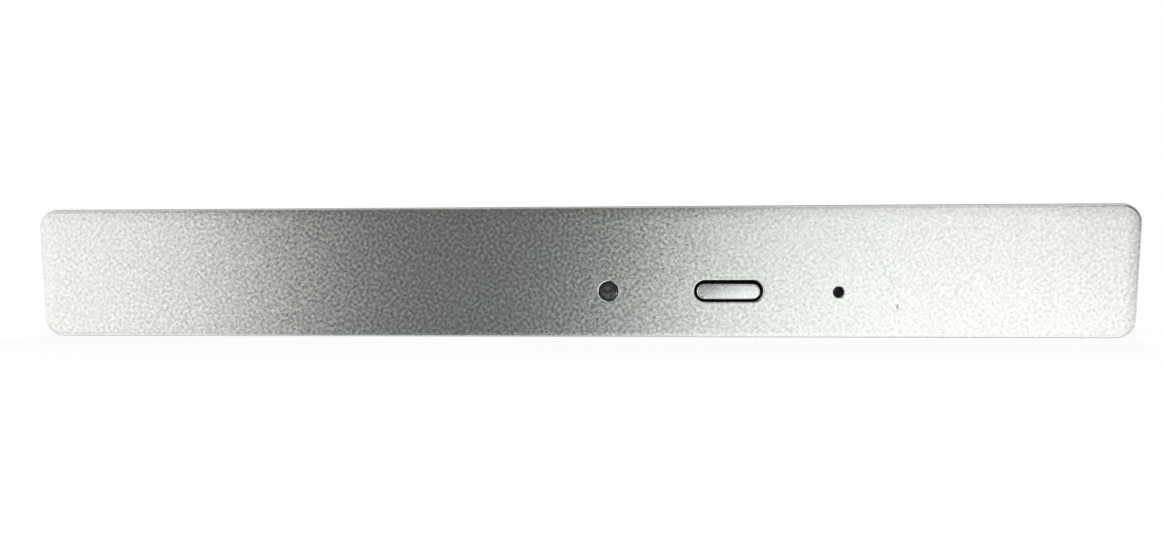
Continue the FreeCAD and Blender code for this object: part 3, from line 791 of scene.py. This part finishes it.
@dataclass
class MirrorRoom:
    """What the paint mirrors: a white room with a dark band in front of the bezel and a dim right end.

    A direction is an angle to the side, positive to the right, a rise above the horizon, both in radians,
    and a depth, which is the Y of its unit vector. A span says where a smooth turn starts and ends.
    """

    band_left: float = math.radians(-27.0)
    band_right: float = math.radians(4.3)
    soft_left: float = math.radians(6.0)
    soft_right: float = math.radians(4.4)
    lean_left: float = -0.35
    lean_right: float = 0.3
    lean_end: float = 0.3
    lean_limit: float = 0.2
    band_level: float = 0.101
    band_top_level: float = 0.2
    band_top_rise: Span = (0.2, 1.0)
    band_floor_level: float = 0.18
    band_floor_rise: Span = (0.0, -0.8)
    band_tint: Colour = (0.93, 1.0, 1.03)
    band_tint_left: Span = (-0.5, -0.3)
    band_tint_right: Span = (0.15, 0.0)
    band_tint_rise: Span = (0.03, -0.08)
    wall_rise: Span = (-0.16, 0.16)
    left_level: float = 1.047
    left_low_share: float = 1.06
    left_high_share: float = 0.92
    left_end_side: Span = (-0.68, -0.95)
    left_end_share: float = 0.95
    right_side: Span = (0.05, 0.42)
    right_near_level: float = 0.9
    right_far_level: float = 1.125
    right_low_share: float = 1.09
    right_high_share: float = 0.79
    right_tint: Colour = (0.965, 1.015, 0.975)
    right_tint_left: Span = (-0.1, 0.1)
    right_tint_right: Span = (0.4, 0.2)
    right_end_side: Span = (0.51, 0.84)
    right_end_rise: Span = (-0.12, 0.07)
    right_end_low: float = 0.74
    right_end_high: float = 0.14
    ceiling_rise: Span = (0.1, 0.7)
    ceiling_share: float = 0.78
    floor_rise: Span = (-0.13, -0.36)
    floor_share: float = 0.76
    patch_left: Span = (-0.12, 0.06)
    patch_right: Span = (0.5, 0.3)
    patch_share: float = 1.16
    steep_rise: Span = (-0.45, -0.85)
    steep_limit: float = 1.03
    front_depth: Span = (0.2, -0.15)
    behind_depth: Span = (0.0, 0.9)
    behind_share: float = 0.25

    def colour(self, book: NodeBook, direction: Socket) -> Socket:
        """Light that comes from a direction.

        Args:
            book: nodes of the world.
            direction: direction as a unit vector.

        Returns:
            Socket of the light's colour.
        """
        axes = book.add("SeparateXYZ")
        book.feed(axes.inputs[0], direction)
        side = book.math("ARCSINE", axes.outputs["X"])
        rise = book.math("ARCSINE", axes.outputs["Z"])
        depth = axes.outputs["Y"]
        level = book.mix(book.ease(depth, self.front_depth), 1.0, self._round_about(book, side, rise))
        ceiling = book.ease(rise, self.ceiling_rise, 1.0, self.ceiling_share)
        level = book.math("MULTIPLY", level, ceiling)
        patch = book.between(side, self.patch_left, self.patch_right)
        floor = book.mix(patch, self.floor_share, self.patch_share)
        floor = book.ease(rise, self.floor_rise, 1.0, floor)
        steep = book.math("MINIMUM", level, self.steep_limit)
        level = book.mix(book.ease(rise, self.steep_rise), book.math("MULTIPLY", level, floor), steep)
        behind = book.ease(depth, self.behind_depth, 1.0, self.behind_share)
        level = book.math("MULTIPLY", level, behind)
        return book.vector("SCALE", self._tint(book, side, rise), level)

    def _tint(self, book: NodeBook, side: Socket, rise: Socket) -> Socket:
        """Tint of the light: greenish right of the band, and cool low in the band.

        Args:
            book: nodes of the world.
            side: angle of the direction to the side.
            rise: rise of the direction.

        Returns:
            Socket of the tint.
        """
        green = book.between(side, self.right_tint_left, self.right_tint_right)
        tint = book.mix(green, WHITE, self.right_tint, "VECTOR")
        cool = book.between(side, self.band_tint_left, self.band_tint_right)
        cool = book.math("MULTIPLY", cool, book.ease(rise, self.band_tint_rise))
        return book.mix(cool, tint, self.band_tint, "VECTOR")

    def _round_about(self, book: NodeBook, side: Socket, rise: Socket) -> Socket:
        """Brightness of the band, and of the room on both sides of it.

        Args:
            book: nodes of the world.
            side: angle of the direction to the side.
            rise: rise of the direction.

        Returns:
            Socket of the brightness.
        """
        low_rise = book.math("MINIMUM", book.math("MAXIMUM", rise, -self.lean_limit), self.lean_limit)
        high_rise = book.math("MAXIMUM", low_rise, 0.0)
        right = book.math("SUBTRACT", side, book.math("MULTIPLY", low_rise, self.lean_right))
        left = book.math("SUBTRACT", side, book.math("MULTIPLY", high_rise, self.lean_left))
        right_turn = (self.band_right - self.soft_right, self.band_right + self.soft_right)
        left_turn = (self.band_left + self.soft_left, self.band_left - self.soft_left)
        above = book.ease(rise, self.band_top_rise, self.band_level, self.band_top_level)
        below = book.ease(rise, self.band_floor_rise, self.band_level, self.band_floor_level)
        band = book.math("MAXIMUM", above, below)
        end = book.math("MULTIPLY_ADD", low_rise, self.lean_end, side)
        level = book.mix(book.ease(right, right_turn), band, self._right_wall(book, side, rise, end))
        return book.mix(book.ease(left, left_turn), level, self._left_wall(book, side, rise))

    def _right_wall(self, book: NodeBook, side: Socket, rise: Socket, end: Socket) -> Socket:
        """Brightness of the room right of the band, which dims at its far end.

        Args:
            book: nodes of the world.
            side: angle of the direction to the side.
            rise: rise of the direction.
            end: the same angle, measured along the leaning border of the far end.

        Returns:
            Socket of the brightness.
        """
        level = book.ease(side, self.right_side, self.right_near_level, self.right_far_level)
        share = book.ease(rise, self.wall_rise, self.right_low_share, self.right_high_share)
        level = book.math("MULTIPLY", level, share)
        end_level = book.ease(rise, self.right_end_rise, self.right_end_low, self.right_end_high)
        return book.math("MULTIPLY", level, book.ease(end, self.right_end_side, 1.0, end_level))

    def _left_wall(self, book: NodeBook, side: Socket, rise: Socket) -> Socket:
        """Brightness of the room left of the band.

        Args:
            book: nodes of the world.
            side: angle of the direction to the side.
            rise: rise of the direction.

        Returns:
            Socket of the brightness.
        """
        low = self.left_low_share * self.left_level
        high = self.left_high_share * self.left_level
        level = book.ease(rise, self.wall_rise, low, high)
        end = book.ease(side, self.left_end_side, 1.0, self.left_end_share)
        return book.math("MULTIPLY", level, end)


@dataclass
class Studio:
    """White room, pale floor and soft lamps."""

    room: MirrorRoom = field(default_factory=MirrorRoom)
    white: float = 1.0
    ambient: float = 0.55
    floor_size: float = 4.0
    floor_colour: Colour = (0.92, 0.92, 0.92)
    floor_glow: float = 0.8
    floor_glow_reach: Span = (0.12, 0.5)
    lamps: list[Softbox] = field(
        default_factory=lambda: [
            Softbox("key_lamp", place=(-0.55, -0.55, 0.75), size=0.5, power=5.0),
            Softbox("fill_lamp", place=(0.75, -0.35, 0.6), size=0.6, power=3.0),
            Softbox("back_lamp", place=(0.2, 0.9, 0.6), size=0.7, power=6.0),
        ]
    )

    def build(self) -> None:
        """Sets up the room, the floor and the lamps."""
        self._light_room()
        self._lay_floor()
        for lamp in self.lamps:
            lamp.build()

    def _light_room(self) -> None:
        """White to the camera, even to matt surfaces, and the mirrored room to glossy ones."""
        world = bpy.data.worlds.new("white_room")
        bpy.context.scene.world = world
        world.use_nodes = True
        book = NodeBook(world.node_tree)
        mirrored = self.room.colour(book, book.add("TexCoord").outputs["Generated"])
        path = book.add("LightPath")
        even = rgba((self.ambient,) * 3)
        white = rgba((self.white,) * 3)
        light = book.mix(path.outputs["Is Glossy Ray"], even, mirrored, "RGBA")
        background = book.add("Background")
        book.feed(background.inputs["Color"], book.mix(book.in_sight(path), light, white, "RGBA"))
        book.show("World", background.outputs["Background"])

    def _lay_floor(self) -> None:
        """Lays a pale floor under the bezel's bottom edge; the paint mirrors the room instead."""
        low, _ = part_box(Piece.FACEPLATE.value)
        bpy.ops.object.select_all(action="DESELECT")
        bpy.ops.mesh.primitive_plane_add(size=self.floor_size, location=(0.0, 0.0, low.z))
        floor = bpy.context.active_object
        floor.name = "floor"
        bpy.ops.object.transform_apply(location=True, rotation=True, scale=True)
        floor.visible_glossy = False
        finish, book = new_finish("pale_floor")
        matt = book.add("BsdfDiffuse")
        matt.inputs["Color"].default_value = rgba(self.floor_colour)
        white = book.add("Emission")
        white.inputs["Strength"].default_value = self.white
        seen = book.in_sight(book.add("LightPath"))
        apart = book.reading("LENGTH", book.add("TexCoord").outputs["Object"])
        glow = book.ease(apart, self.floor_glow_reach, self.floor_glow, 1.0)
        blend = book.add("MixShader")
        book.feed(blend.inputs[0], book.math("MULTIPLY", seen, glow))
        book.feed(blend.inputs[1], matt.outputs["BSDF"])
        book.feed(blend.inputs[2], white.outputs["Emission"])
        book.show("Material", blend.outputs["Shader"])
        floor.data.materials.append(finish)


@dataclass
class FrontCamera:
    """Camera of the photograph: close in front of the bezel, a little to its right and above."""

    distance: float = 90 * MM
    turn: float = math.radians(2.96)
    look_down: float = math.radians(1.38)
    roll: float = math.radians(-0.19)
    lens: float = 23.36
    sensor: float = 36.0
    nearest: float = 10 * MM
    aim: Point = (1.36 * MM, -5.2 * MM, 0.29 * MM)

    def build(self) -> None:
        """Adds the camera and makes it the scene's own."""
        lens = bpy.data.cameras.new("front_camera")
        lens.lens = self.lens
        lens.sensor_width = self.sensor
        lens.sensor_fit = "HORIZONTAL"
        lens.clip_start = self.nearest
        camera = bpy.data.objects.new("front_camera", lens)
        level = Euler((math.pi / 2 - self.look_down, 0.0, self.turn), "XYZ").to_matrix()
        facing = (level @ Matrix.Rotation(self.roll, 3, "Z")).to_4x4()
        backwards = facing.to_3x3() @ Vector((0.0, 0.0, 1.0))
        place = Vector(self.aim) + self.distance * backwards
        camera.matrix_world = Matrix.Translation(place) @ facing
        bpy.context.scene.collection.objects.link(camera)
        bpy.context.scene.camera = camera


def main() -> None:
    """Loads the CAD part, dresses its pieces and sets up the studio and the camera."""
    logging.basicConfig(level=logging.INFO, format="%(name)s: %(message)s")
    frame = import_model()
    nodes = frame["nodes"]
    bpy.context.scene.view_settings.view_transform = "Standard"
    pieces = (
        Faceplate(nodes[Piece.FACEPLATE.value]),
        EjectButton(nodes[Piece.EJECT_BUTTON.value]),
        LightPipe(nodes[Piece.LIGHT_PIPE.value]),
    )
    for piece in pieces:
        piece.dress()
        LOG.info("%s is dressed", piece.node.name)
    Studio().build()
    FrontCamera().build()
    LOG.info("studio and camera are set up")


if __name__ == "__main__":
    main()
